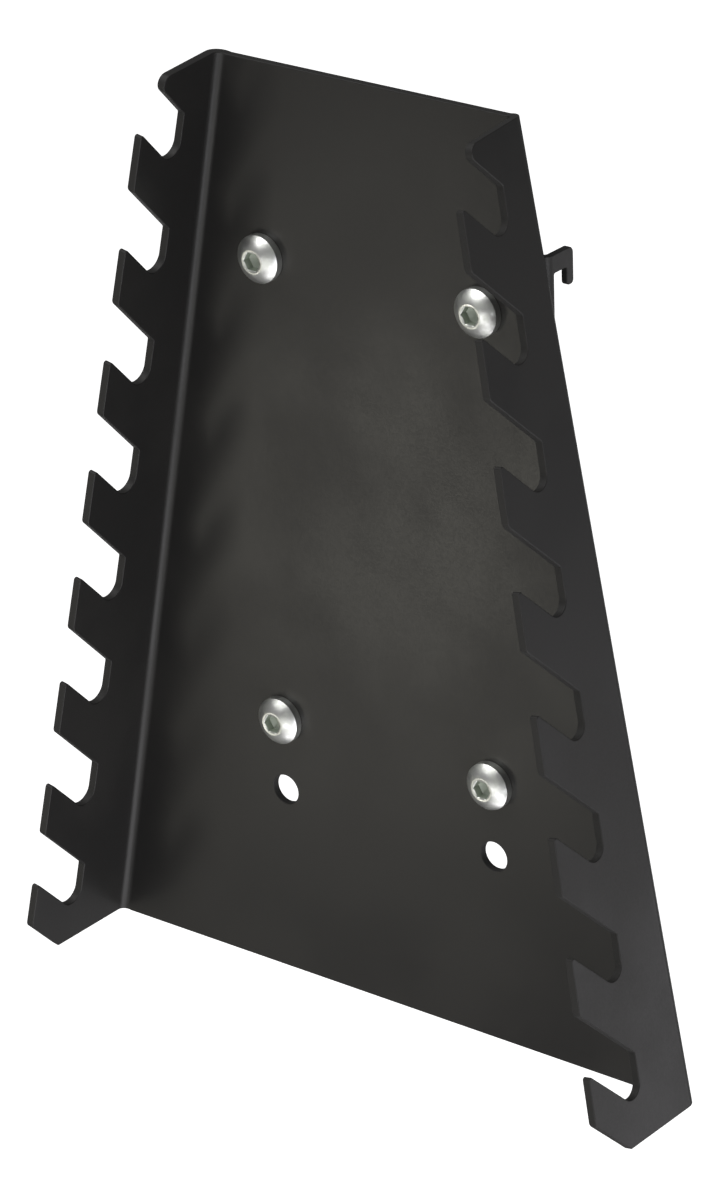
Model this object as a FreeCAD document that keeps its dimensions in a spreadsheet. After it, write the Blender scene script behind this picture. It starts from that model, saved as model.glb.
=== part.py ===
import FreeCAD, Part
import collections
import enum
import math
import os
import Sketcher

# Clamp rack: one tapered, folded sheet with slanted notches down both side flanges, carried by
# two hook brackets that are screwed to its back. A bar or handle lies across each pair of notches.
#
# Frame of the whole part, in millimetres: X runs to the right as seen from the front, Y points
# to the wall and Z up. The origin is midway between the two upper hooks, in the inner corner of
# the hooks, where the underside of the arms meets the front of the tips.

SIZES = {
    # folded sheet: heights are measured up from the bottom edge of its back plate, widths
    # between the inner faces of the flanges, and depths forward from the face of the plate
    "sheet_thickness": 2.5,
    "fold_radius": 2.5,
    "fold_land": 2.7,
    "plate_height": 280.0,
    "top_width": 100.2,
    "bottom_width": 206.2,
    "flange_depth_top": 29.5,
    "flange_depth_bottom": 44.0,
    # horn: how far its top edge falls on the way from the plate to the free edge, and its tip
    "horn_fall": 2.2,
    "horn_radius": 2.8,
    # spine: the strip of a flange between the plate and the notches
    "spine_depth_top": 11.7,
    "spine_depth_bottom": 22.5,
    # notches: lengths run down the spine's front, from its top end, and the slope is the angle
    # at which the notches and the foot fall towards the plate
    "first_notch": 32.8,
    "notch_pitch": 34.9,
    "notch_height": 17.4,
    "notch_slope": 44.2,
    "notch_seat_radius": 4.0,
    "notch_root_radius": 1.0,
    "least_foot": 5.0,
    "foot_depth": 30.0,
    # button-head screws and the holes that they pass through
    "screw_diameter": 8.0,
    "screw_clearance": 1.0,
    "screw_projection": 0.2,
    "point_chamfer": 1.0,
    "head_diameter": 14.0,
    "head_height": 5.0,
    "head_rim": 2.4,
    "head_flat": 7.0,
    "socket_width": 5.0,
    "socket_depth": 2.6,
    "screw_spacing": 75.0,
    "screw_rise": 141.6,
    "lower_screw_height": 81.4,
    "spare_hole_drop": 22.9,
    # hook brackets: heights are measured from the seat, where the arms rest on the panel
    "bracket_thickness": 2.0,
    "bracket_fold_radius": 1.0,
    "hook_spacing": 114.0,
    "hook_throat": 5.7,
    "panel_room": 1.3,
    "arm_height": 5.4,
    "tip_depth": 3.0,
    "tip_drop": 5.3,
    "crown_radius": 2.0,
    "tip_radius": 1.2,
    "throat_radius": 0.5,
    "upper_seat_rise": 13.0,
    "lower_seat_rise": 2.6,
    "slot_spare": 0.5,
    "slot_margin": 3.0,
    # washers and nuts behind the brackets
    "washer_diameter": 16.0,
    "washer_thickness": 1.6,
    "washer_clearance": 0.4,
    "nut_width": 13.0,
    "nut_height": 4.0,
    "nut_chamfer_angle": 30.0,
    "nut_bore_chamfer": 0.4,
    "thread_clearance": 0.2,
}

# lean of a fold from the vertical, length of a fold, and taper of the spine's front from it
LEAN = "atan((sizes.bottom_width - sizes.top_width) / (2 * sizes.plate_height))"
FOLD_LENGTH = f"(sizes.plate_height / cos({LEAN}))"
TAPER = f"atan((sizes.spine_depth_bottom - sizes.spine_depth_top) / {FOLD_LENGTH})"
SPINE_LENGTH = f"({FOLD_LENGTH} / cos({TAPER}))"
FOLD_START = f"(sizes.fold_land * sin({LEAN}))"
FOLD_END = f"({FOLD_LENGTH} + {FOLD_START})"
NOTCH_COUNT = f"floor(({SPINE_LENGTH} - sizes.first_notch - sizes.least_foot) / sizes.notch_pitch) + 1"
CUT_THROUGH = "4 * max(sizes.sheet_thickness; sizes.bracket_thickness)"

# planes that the pieces share, from the panel forward: the screws end just short of the panel
NUT_SEAT = "-(sizes.panel_room + sizes.screw_projection + sizes.nut_height)"
WEB_BACK = f"({NUT_SEAT} - sizes.washer_thickness)"
WEB_FACE = f"({WEB_BACK} - sizes.bracket_thickness)"
PLATE_FACE = f"({WEB_FACE} - sizes.sheet_thickness)"
SCREW_LENGTH = (
    "(sizes.sheet_thickness + sizes.bracket_thickness + sizes.washer_thickness"
    " + sizes.nut_height + sizes.screw_projection)"
)

# heights of the screw rows and of the lower hooks' seats, from the origin
SCREW_ROWS = {
    "upper": "-sizes.upper_seat_rise",
    "lower": "-(sizes.upper_seat_rise + sizes.screw_rise)",
}
SEAT_HEIGHTS = {
    "upper": "0",
    "lower": f"({SCREW_ROWS['lower']} + sizes.lower_seat_rise)",
}
SIDES = {"left": "-", "right": ""}
HALF_SPACING = "sizes.screw_spacing / 2"
HOLE_RADIUS = "(sizes.screw_diameter + sizes.screw_clearance) / 2"

AXIS_X = FreeCAD.Vector(1, 0, 0)
AXIS_Z = FreeCAD.Vector(0, 0, 1)
TO_FRONT = FreeCAD.Rotation(AXIS_X, 90)
TO_WALL = FreeCAD.Rotation(AXIS_X, -90)
HEX_SIDES = 6
FULL_TURN = 360
SAME_PLACE = 1e-3


class Axis(enum.IntEnum):
    """The two axes of a sketch, by the numbers that its constraints know them by."""

    HORIZONTAL = -1
    VERTICAL = -2


ORIGIN_POINT = (Axis.HORIZONTAL, 1)
Corner = collections.namedtuple("Corner", "across up radius", defaults=[None])

doc = FreeCAD.newDocument("clamp_rack")
sheet = doc.addObject("Spreadsheet::Sheet", "sizes")
for row, (alias, size) in enumerate(SIZES.items(), start=1):
    sheet.set(f"A{row}", alias)
    sheet.set(f"B{row}", str(size))
    sheet.setAlias(f"B{row}", alias)
doc.recompute()


def value(expression):
    """Works an expression out to a plain number."""
    result = sheet.evalExpression(expression)
    return float(getattr(result, "Value", result))


def new_body(label, rotation=None, **base):
    """Starts a body whose place follows the sheet: base gives x, y or z as an expression."""
    body = doc.addObject("PartDesign::Body", label)
    body.Label = label
    if rotation:
        body.Placement = FreeCAD.Placement(FreeCAD.Vector(), rotation)
    for axis, expression in base.items():
        body.setExpression(f"Placement.Base.{axis}", expression)
    return body


def origin_feature(body, role):
    """Finds one of a body's own origin planes or axes."""
    return next(item for item in body.Origin.OriginFeatures if item.Role == role)


def new_sketch(body, name, role, offset=None):
    """Makes a sketch on an origin plane of the body, moved along the plane's normal by offset."""
    sketch = body.newObject("Sketcher::SketchObject", name)
    sketch.AttachmentSupport = (origin_feature(body, role), [""])
    sketch.MapMode = "FlatFace"
    if offset:
        sketch.setExpression("AttachmentOffset.Base.z", offset)
    doc.recompute()
    return sketch


def dimension(sketch, kind, expression, *where):
    """Adds a dimension and binds it to the sheet."""
    index = sketch.addConstraint(Sketcher.Constraint(kind, *where, value(expression)))
    sketch.setExpression(f"Constraints[{index}]", expression)


def place(sketch, point, across, up):
    """Fixes a sketch point at two distances from the sketch's origin, or on its axes."""
    if across == "0":
        sketch.addConstraint(Sketcher.Constraint("PointOnObject", *point, Axis.VERTICAL))
    else:
        dimension(sketch, "DistanceX", across, *ORIGIN_POINT, *point)
    if up == "0":
        sketch.addConstraint(Sketcher.Constraint("PointOnObject", *point, Axis.HORIZONTAL))
    else:
        dimension(sketch, "DistanceY", up, *ORIGIN_POINT, *point)


def angle_of(vector):
    """Gives the direction of a vector in the sketch's plane, in radians."""
    return math.atan2(vector.y, vector.x)


def round_corner(sketch, corner, point, before, after, joined):
    """Draws a tangent arc between two lines and keeps the sharp corner as a fixed point."""
    radius = value(corner.radius)
    half = before.getAngle(after) / 2
    middle = FreeCAD.Vector(before + after).normalize()
    centre = point + middle * (radius / math.sin(half))
    reach = radius / math.tan(half)
    first = angle_of(point + before * reach - centre)
    last = angle_of(point + after * reach - centre)
    turns_left = after.cross(before).z > 0
    sweep = (first, last) if turns_left else (last, first)
    arc = sketch.addGeometry(Part.ArcOfCircle(Part.Circle(centre, AXIS_Z, radius), *sweep), False)
    into, out_of = (1, 2) if turns_left else (2, 1)
    previous, following = joined
    sketch.addConstraint(Sketcher.Constraint("Tangent", previous, 2, arc, into))
    sketch.addConstraint(Sketcher.Constraint("Tangent", arc, out_of, following, 1))
    dimension(sketch, "Radius", corner.radius, arc)
    mark = sketch.addGeometry(Part.Point(point), True)
    sketch.addConstraint(Sketcher.Constraint("PointOnObject", mark, 1, previous))
    sketch.addConstraint(Sketcher.Constraint("PointOnObject", mark, 1, following))
    place(sketch, (mark, 1), corner.across, corner.up)


def outline(sketch, corners):
    """Draws a closed chain of lines through the corners, rounded where a corner has a radius."""
    points = [FreeCAD.Vector(value(corner.across), value(corner.up), 0) for corner in corners]
    count = len(points)
    before = [(points[i - 1] - points[i]).normalize() for i in range(count)]
    after = [(points[(i + 1) % count] - points[i]).normalize() for i in range(count)]
    reach = []
    for i, corner in enumerate(corners):
        radius = value(corner.radius) if corner.radius else 0.0
        reach.append(radius / math.tan(before[i].getAngle(after[i]) / 2))
    lines = []
    for i in range(count):
        start = points[i] + after[i] * reach[i]
        following = (i + 1) % count
        end = points[following] + before[following] * reach[following]
        lines.append(sketch.addGeometry(Part.LineSegment(start, end), False))
    for i, corner in enumerate(corners):
        joined = (lines[i - 1], lines[i])
        if corner.radius:
            round_corner(sketch, corner, points[i], before[i], after[i], joined)
        else:
            sketch.addConstraint(Sketcher.Constraint("Coincident", joined[0], 2, joined[1], 1))
            place(sketch, (joined[1], 1), corner.across, corner.up)
    doc.recompute()


def circle(sketch, across, up, radius):
    """Draws a circle fixed by its centre and radius."""
    centre = FreeCAD.Vector(value(across), value(up), 0)
    ring = sketch.addGeometry(Part.Circle(centre, AXIS_Z, value(radius)), False)
    place(sketch, (ring, 3), across, up)
    dimension(sketch, "Radius", radius, ring)


def upright_slot(sketch, across, top, bottom, radius):
    """Draws a slot with round ends between two centres, one above the other."""
    size = value(radius)
    side = FreeCAD.Vector(size, 0, 0)
    centres = [FreeCAD.Vector(value(across), value(up), 0) for up in (top, bottom)]
    half_turn = math.pi
    upper_circle = Part.Circle(centres[0], AXIS_Z, size)
    lower_circle = Part.Circle(centres[1], AXIS_Z, size)
    upper = sketch.addGeometry(Part.ArcOfCircle(upper_circle, 0, half_turn), False)
    lower = sketch.addGeometry(Part.ArcOfCircle(lower_circle, half_turn, 2 * half_turn), False)
    left = sketch.addGeometry(Part.LineSegment(centres[0] - side, centres[1] - side), False)
    right = sketch.addGeometry(Part.LineSegment(centres[1] + side, centres[0] + side), False)
    joints = ((upper, 2, left, 1), (left, 2, lower, 1), (lower, 2, right, 1), (right, 2, upper, 1))
    for joint in joints:
        sketch.addConstraint(Sketcher.Constraint("Tangent", *joint))
    sketch.addConstraint(Sketcher.Constraint("Equal", upper, lower))
    place(sketch, (upper, 3), across, top)
    place(sketch, (lower, 3), across, bottom)
    dimension(sketch, "Radius", radius, upper)


def hexagon(sketch, width_across_flats):
    """Draws a hexagon about the sketch's origin with two corners on its horizontal axis."""
    corner_radius = f"{width_across_flats} / 2 / cos({FULL_TURN / HEX_SIDES / 2})"
    corners = []
    for index in range(HEX_SIDES):
        turn = index * FULL_TURN / HEX_SIDES
        up = "0" if turn % (FULL_TURN / 2) == 0 else f"{corner_radius} * sin({turn})"
        corners.append(Corner(f"{corner_radius} * cos({turn})", up))
    outline(sketch, corners)


def extrude(body, kind, name, sketch, length, backwards=False, both_ways=False):
    """Pads or pockets a sketch by a length that follows the sheet."""
    feature = body.newObject(f"PartDesign::{kind}", name)
    feature.Profile = sketch
    feature.Reversed = backwards
    if both_ways:
        feature.SideType = "Symmetric"
    feature.setExpression("Length", length)
    doc.recompute()
    return feature


def revolve(body, kind, name, sketch):
    """Turns a sketch once round its own vertical axis, to add material or to cut it away."""
    feature = body.newObject(f"PartDesign::{kind}", name)
    feature.Profile = sketch
    feature.ReferenceAxis = (sketch, ["V_Axis"])
    feature.Angle = FULL_TURN
    doc.recompute()
    return feature


def edge_between(feature, start, end):
    """Names the edge of a feature that joins two points."""
    for index, edge in enumerate(feature.Shape.Edges, start=1):
        ends = [vertex.Point for vertex in edge.Vertexes]
        if len(ends) == 2:
            for first, last in (ends, reversed(ends)):
                if max(first.distanceToPoint(start), last.distanceToPoint(end)) < SAME_PLACE:
                    return f"Edge{index}"
    raise ValueError(f"no edge between {start} and {end}")


def soften_edge(body, name, feature, ends, radius):
    """Rounds the edge between two points, each given as three expressions."""
    points = [FreeCAD.Vector(*[value(part) for part in end]) for end in ends]
    fillet = body.newObject("PartDesign::Fillet", name)
    fillet.Base = (feature, [edge_between(feature, *points)])
    fillet.setExpression("Radius", radius)
    doc.recompute()
    return fillet


def mirror_across(body, name):
    """Completes a body whose right half is modelled by mirroring it at its middle plane."""
    mirrored = body.newObject("PartDesign::Mirrored", name)
    mirrored.TransformMode = "Whole shape"
    mirrored.MirrorPlane = (origin_feature(body, "YZ_Plane"), [""])
    body.Tip = mirrored
    doc.recompute()
    return mirrored


def flange_sketch(body, name):
    """Makes a sketch on the right flange's inner face: up runs along the fold from its bottom end,
    and across is minus the depth forward of the plate."""
    sketch = new_sketch(body, name, "YZ_Plane", "sizes.bottom_width / 2")
    lean = FreeCAD.Rotation(AXIS_X, -value(LEAN))
    sketch.AttachmentOffset = FreeCAD.Placement(sketch.AttachmentOffset.Base, lean)
    sketch.setExpression("AttachmentOffset.Rotation.Angle", f"-{LEAN}")
    doc.recompute()
    return sketch


def fold_point(along, outward):
    """Gives X and Z of a point by its distance up the right fold and out from the inner face."""
    across = f"sizes.bottom_width / 2 - ({along}) * sin({LEAN}) + ({outward}) * cos({LEAN})"
    up = f"({along}) * cos({LEAN}) + ({outward}) * sin({LEAN})"
    return across, up


def notch_point(down, outward="0", radius=None):
    """Gives a corner in a flange sketch by its distance down the spine's front, and then forward
    along the slope of the notches."""
    across = f"-(sizes.spine_depth_top + ({down}) * sin({TAPER}) + {outward})"
    up = f"{FOLD_END} - ({down}) * cos({TAPER}) + {outward} * tan(sizes.notch_slope)"
    return Corner(across, up, radius)


def cut_notches(body):
    """Cuts the slanted notches down a flange: parallel sides that fall towards the plate, a round
    seat in the lower inner corner and a small radius in the upper one."""
    sketch = flange_sketch(body, "notch_outline")
    high = "sizes.first_notch - sizes.notch_height"
    outside = "sizes.flange_depth_bottom"
    outline(sketch, [
        notch_point(high, outside),
        notch_point("sizes.first_notch", outside),
        notch_point("sizes.first_notch", "0", "sizes.notch_seat_radius"),
        notch_point(high, "0", "sizes.notch_root_radius"),
    ])
    top, bottom = notch_point("0"), notch_point(SPINE_LENGTH)
    ends = [FreeCAD.Vector(value(end.across), value(end.up), 0) for end in (top, bottom)]
    run = sketch.addGeometry(Part.LineSegment(*ends), True)
    place(sketch, (run, 1), top.across, top.up)
    place(sketch, (run, 2), bottom.across, bottom.up)
    notch = extrude(body, "Pocket", "notch", sketch, CUT_THROUGH, both_ways=True)
    pattern = body.newObject("PartDesign::LinearPattern", "notches")
    pattern.Originals = [notch]
    pattern.Direction = (sketch, ["Axis0"])
    pattern.Mode = "Spacing"
    pattern.setExpression("Offset", "sizes.notch_pitch")
    pattern.setExpression("Occurrences", NOTCH_COUNT)
    body.Tip = pattern
    doc.recompute()
    return pattern


def round_horn(body, feature):
    """Rounds the tip of the horn, where its falling top edge meets the first notch."""
    fall = "(sizes.horn_fall / (sizes.flange_depth_top - sizes.fold_land))"
    root = notch_point("sizes.first_notch - sizes.notch_height")
    rise = f"({FOLD_END} + sizes.fold_land * {fall} - ({root.up}))"
    slope = "tan(sizes.notch_slope)"
    depth = f"(({rise} - ({root.across}) * {slope}) / ({slope} + {fall}))"
    along = f"({FOLD_END} - ({depth} - sizes.fold_land) * {fall})"
    ends = []
    for outward in ("0", "sizes.sheet_thickness"):
        across, up = fold_point(along, outward)
        ends.append((across, f"-{depth}", up))
    soften_edge(body, "horn_tip", feature, ends, "sizes.horn_radius")


def cut_foot(body):
    """Slants the bottom end of a flange, parallel to the notches, from the foot to the free edge."""
    sketch = flange_sketch(body, "foot_outline")
    inside, below = "sizes.sheet_thickness", "sizes.sheet_thickness * tan(sizes.notch_slope)"
    outside, above = "sizes.flange_depth_bottom", "sizes.flange_depth_bottom * tan(sizes.notch_slope)"
    outline(sketch, [
        Corner(f"{inside} - sizes.foot_depth", f"{FOLD_START} - {below}"),
        Corner(f"-{outside} - sizes.foot_depth", f"{FOLD_START} - {below}"),
        Corner(f"-{outside} - sizes.foot_depth", f"{FOLD_START} + {above}"),
    ])
    extrude(body, "Pocket", "foot", sketch, CUT_THROUGH, both_ways=True)


def build_rack_sheet():
    """Folds the rack from one sheet: a tapered back plate and two flanges that stand forward."""
    seat_height = "(sizes.lower_screw_height + sizes.screw_rise + sizes.upper_seat_rise)"
    body = new_body("rack_sheet", y=PLATE_FACE, z=f"-{seat_height}")
    plate = new_sketch(body, "plate_outline", "XZ_Plane")
    outline(plate, [
        Corner("0", "0"),
        Corner("sizes.bottom_width / 2 - sizes.fold_land", "0"),
        Corner(*fold_point(FOLD_START, "sizes.sheet_thickness")),
        Corner(*fold_point(FOLD_END, "sizes.sheet_thickness")),
        Corner("sizes.top_width / 2 - sizes.fold_land", "sizes.plate_height"),
        Corner("0", "sizes.plate_height"),
    ])
    extrude(body, "Pad", "plate", plate, "sizes.sheet_thickness", backwards=True)
    flange = flange_sketch(body, "flange_outline")
    outline(flange, [
        Corner("0", FOLD_START),
        Corner("0", FOLD_END),
        Corner("-sizes.fold_land", FOLD_END),
        Corner("-sizes.flange_depth_top", f"{FOLD_END} - sizes.horn_fall"),
        Corner("-sizes.flange_depth_bottom", FOLD_START),
    ])
    folded = extrude(body, "Pad", "flange", flange, "sizes.sheet_thickness")
    outer_radius = "sizes.fold_radius + sizes.sheet_thickness"
    for name, outward, radius in (
        ("fold_inside", "0", "sizes.fold_radius"),
        ("fold_outside", "sizes.sheet_thickness", outer_radius),
    ):
        ends = []
        for along in (FOLD_START, FOLD_END):
            across, up = fold_point(along, outward)
            ends.append((across, outward, up))
        folded = soften_edge(body, name, folded, ends, radius)
    round_horn(body, cut_notches(body))
    cut_foot(body)
    holes = new_sketch(body, "screw_holes", "XZ_Plane")
    lower = "sizes.lower_screw_height"
    for height in (f"{lower} + sizes.screw_rise", lower, f"{lower} - sizes.spare_hole_drop"):
        circle(holes, HALF_SPACING, height, HOLE_RADIUS)
    extrude(body, "Pocket", "holes", holes, CUT_THROUGH, both_ways=True)
    mirror_across(body, "both_sides")
    return body


def build_hook_bracket(row):
    """Folds a hook bracket: a flat web with two upright slots, and an ear at each end that runs
    out into an arm with a tip turned down."""
    body = new_body(f"{row}_hook_bracket", z=SEAT_HEIGHTS[row])
    outer = "(sizes.hook_spacing + sizes.bracket_thickness) / 2"
    inner = "(sizes.hook_spacing - sizes.bracket_thickness) / 2"
    seat_rises = "sizes.upper_seat_rise; sizes.lower_seat_rise"
    slot_top = f"(sizes.slot_spare - min({seat_rises}))"
    slot_bottom = f"-(sizes.slot_spare + max({seat_rises}))"
    web_bottom = f"{slot_bottom} - {HOLE_RADIUS} - sizes.slot_margin"
    web = new_sketch(body, "web_outline", "XZ_Plane", f"-{WEB_FACE}")
    outline(web, [
        Corner("0", web_bottom),
        Corner(outer, web_bottom),
        Corner(outer, "sizes.arm_height"),
        Corner("0", "sizes.arm_height"),
    ])
    extrude(body, "Pad", "web", web, "sizes.bracket_thickness", backwards=True)
    ear = new_sketch(body, "ear_outline", "YZ_Plane", inner)
    outline(ear, [
        Corner(WEB_FACE, web_bottom),
        Corner(WEB_FACE, "sizes.arm_height"),
        Corner("sizes.tip_depth", "sizes.arm_height", "sizes.crown_radius"),
        Corner("sizes.tip_depth", "-sizes.tip_drop", "sizes.tip_radius"),
        Corner("0", "-sizes.tip_drop", "sizes.tip_radius"),
        Corner("0", "0", "sizes.throat_radius"),
        Corner("-sizes.hook_throat", "0", "sizes.throat_radius"),
        Corner("-sizes.hook_throat", web_bottom),
    ])
    folded = extrude(body, "Pad", "ear", ear, "sizes.bracket_thickness")
    outside = ((outer, WEB_FACE, web_bottom), (outer, WEB_FACE, "sizes.arm_height"))
    bend = "sizes.bracket_fold_radius + sizes.bracket_thickness"
    folded = soften_edge(body, "fold_outside", folded, outside, bend)
    inside = ((inner, WEB_BACK, web_bottom), (inner, WEB_BACK, "sizes.arm_height"))
    soften_edge(body, "fold_inside", folded, inside, "sizes.bracket_fold_radius")
    slot = new_sketch(body, "slot_outline", "XZ_Plane", f"-{WEB_FACE}")
    upright_slot(slot, HALF_SPACING, slot_top, slot_bottom, HOLE_RADIUS)
    extrude(body, "Pocket", "slot", slot, CUT_THROUGH, both_ways=True)
    mirror_across(body, "both_ends")
    return body


def build_screw(row, side):
    """Turns a button-head screw with a domed head and a hexagon socket, its head to the front."""
    across = f"{SIDES[side]}{HALF_SPACING}"
    body = new_body(f"{row}_{side}_screw", TO_FRONT, x=across, y=PLATE_FACE, z=SCREW_ROWS[row])
    profile = new_sketch(body, "screw_profile", "XZ_Plane")
    dome_start = ("sizes.head_diameter / 2", "sizes.head_rim")
    chain = [
        ("0", f"-{SCREW_LENGTH}"),
        ("sizes.screw_diameter / 2 - sizes.point_chamfer", f"-{SCREW_LENGTH}"),
        ("sizes.screw_diameter / 2", f"sizes.point_chamfer - {SCREW_LENGTH}"),
        ("sizes.screw_diameter / 2", "0"),
        ("sizes.head_diameter / 2", "0"),
        dome_start,
        ("sizes.head_flat / 2", "sizes.head_height"),
        ("0", "sizes.head_height"),
    ]
    points = [FreeCAD.Vector(value(x), value(y), 0) for x, y in chain]
    dome_index = chain.index(dome_start)
    rim, flat = points[dome_index], points[dome_index + 1]
    drop = (rim.x**2 - flat.x**2 + rim.y**2 - flat.y**2) / (2 * (rim.y - flat.y))
    centre = FreeCAD.Vector(0, drop, 0)
    dome_circle = Part.Circle(centre, AXIS_Z, rim.distanceToPoint(centre))
    dome = Part.ArcOfCircle(dome_circle, angle_of(rim - centre), angle_of(flat - centre))
    count = len(points)
    edges = []
    for index in range(count):
        straight = Part.LineSegment(points[index], points[(index + 1) % count])
        edges.append(profile.addGeometry(dome if index == dome_index else straight, False))
    for index, (x, y) in enumerate(chain):
        profile.addConstraint(Sketcher.Constraint("Coincident", edges[index - 1], 2, edges[index], 1))
        place(profile, (edges[index], 1), x, y)
    profile.addConstraint(Sketcher.Constraint("PointOnObject", edges[dome_index], 3, Axis.VERTICAL))
    revolve(body, "Revolution", "turned", profile)
    socket = new_sketch(body, "socket_outline", "XY_Plane", "sizes.head_height")
    hexagon(socket, "sizes.socket_width")
    extrude(body, "Pocket", "socket", socket, "sizes.socket_depth")
    return body


def build_washer(row, side):
    """Stamps a plain washer, which bridges the slot behind the bracket."""
    across = f"{SIDES[side]}{HALF_SPACING}"
    body = new_body(f"{row}_{side}_washer", TO_WALL, x=across, y=WEB_BACK, z=SCREW_ROWS[row])
    rings = new_sketch(body, "washer_outline", "XY_Plane")
    circle(rings, "0", "0", "sizes.washer_diameter / 2")
    circle(rings, "0", "0", "(sizes.screw_diameter + sizes.washer_clearance) / 2")
    extrude(body, "Pad", "washer", rings, "sizes.washer_thickness")
    return body


def build_nut(row, side):
    """Makes a thin hexagon nut with its corners chamfered on both faces."""
    across = f"{SIDES[side]}{HALF_SPACING}"
    body = new_body(f"{row}_{side}_nut", TO_WALL, x=across, y=NUT_SEAT, z=SCREW_ROWS[row])
    flats = new_sketch(body, "nut_outline", "XY_Plane")
    hexagon(flats, "sizes.nut_width")
    bore = "(sizes.screw_diameter + sizes.thread_clearance) / 2"
    circle(flats, "0", "0", bore)
    extrude(body, "Pad", "nut", flats, "sizes.nut_height")
    reach = "sizes.nut_width"
    fall = "sizes.nut_width / 2 * tan(sizes.nut_chamfer_angle)"
    for name, face, corner in (
        ("wall_side", "sizes.nut_height", f"sizes.nut_height - {fall}"),
        ("seat_side", "0", fall),
    ):
        wedge = new_sketch(body, f"{name}_chamfer_outline", "XZ_Plane")
        outline(wedge, [
            Corner("sizes.nut_width / 2", face),
            Corner(reach, face),
            Corner(reach, corner),
        ])
        chamfered = revolve(body, "Groove", f"{name}_chamfer", wedge)
    rims = []
    for index, edge in enumerate(chamfered.Shape.Edges, start=1):
        if isinstance(edge.Curve, Part.Circle) and abs(edge.Curve.Radius - value(bore)) < SAME_PLACE:
            rims.append(f"Edge{index}")
    chamfer = body.newObject("PartDesign::Chamfer", "bore_chamfer")
    chamfer.Base = (chamfered, rims)
    chamfer.setExpression("Size", "sizes.nut_bore_chamfer")
    doc.recompute()
    return body


def check(bodies):
    """Stops if any object failed to compute or a piece is not one sound solid."""
    for item in doc.Objects:
        if {"Invalid", "Error"} & set(item.State):
            raise RuntimeError(f"{item.Name} did not compute: {item.State}")
    for body in bodies:
        shape = body.Shape
        if shape.isNull() or not shape.isValid() or len(shape.Solids) != 1:
            raise RuntimeError(f"{body.Label} is not one sound solid")
        print(f"{body.Label}: {shape.Volume:.1f} mm3")


def main():
    """Builds every piece, checks it and writes it to its own STEP file."""
    bodies = [build_rack_sheet()]
    for row in SCREW_ROWS:
        bodies.append(build_hook_bracket(row))
        for side in SIDES:
            bodies.extend([build_screw(row, side), build_washer(row, side), build_nut(row, side)])
    doc.recompute()
    check(bodies)
    os.makedirs("parts", exist_ok=True)
    for body in bodies:
        body.Shape.exportStep(f"parts/{body.Label}.step")


main()
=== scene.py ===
import logging
import math
from dataclasses import dataclass
from enum import Enum

import bpy
import numpy as np
from mathutils import Matrix, Vector
from mathutils.geometry import tessellate_polygon


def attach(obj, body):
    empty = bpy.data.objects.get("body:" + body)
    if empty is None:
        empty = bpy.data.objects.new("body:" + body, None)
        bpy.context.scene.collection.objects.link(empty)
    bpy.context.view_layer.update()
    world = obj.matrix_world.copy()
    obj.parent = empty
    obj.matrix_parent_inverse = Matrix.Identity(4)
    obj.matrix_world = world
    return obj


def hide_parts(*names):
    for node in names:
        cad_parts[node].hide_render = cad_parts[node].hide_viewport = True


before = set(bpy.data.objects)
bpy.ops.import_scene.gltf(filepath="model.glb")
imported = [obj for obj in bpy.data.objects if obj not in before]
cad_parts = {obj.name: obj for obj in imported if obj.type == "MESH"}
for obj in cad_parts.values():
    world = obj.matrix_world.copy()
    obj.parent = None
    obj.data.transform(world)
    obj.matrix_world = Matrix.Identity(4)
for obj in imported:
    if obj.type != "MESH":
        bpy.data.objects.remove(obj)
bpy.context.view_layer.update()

# Everything is in metres, in the part's own frame: X to the right seen from the front, +Y to the
# wall, +Z up, and the origin midway between the upper hooks, in the inner corner of the hooks.

MM = 0.001
BODY = "root"

# Sizes that several pieces share.
SCREW_SPACING = 75 * MM
BORE_RADIUS = 4.5 * MM
PLATE_Y = -11.6 * MM
WEB_BACK = -7.1 * MM

# A vertex nearer than this to the middle plane lies on it.
ON_MIDDLE = 1e-9

# The mix node's sockets for colours.
MIX_SHARE, MIX_FIRST, MIX_SECOND, MIX_RESULT = 0, 6, 7, 2

Pair = tuple[float, float]
Triple = tuple[float, float, float]
Colour = tuple[float, float, float, float]
Rim = tuple[np.ndarray, np.ndarray]
Ring = tuple[np.ndarray | float, np.ndarray | float]
Socket = bpy.types.NodeSocket

WHITE: Colour = (1.0, 1.0, 1.0, 1.0)

log = logging.getLogger("clamp_rack")


class Side(Enum):
    """The two halves of the rack, by the sign of their X."""

    LEFT = -1
    RIGHT = 1


class Row(Enum):
    """The two rows of screws, each with a bracket of its own."""

    UPPER = "upper"
    LOWER = "lower"


class Slot(Enum):
    """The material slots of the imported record."""

    RACK_COAT = "rack_coat"
    BRACKET_COAT = "bracket_coat"
    ZINC = "zinc"


# Meshes worked out as whole arrays.


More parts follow.
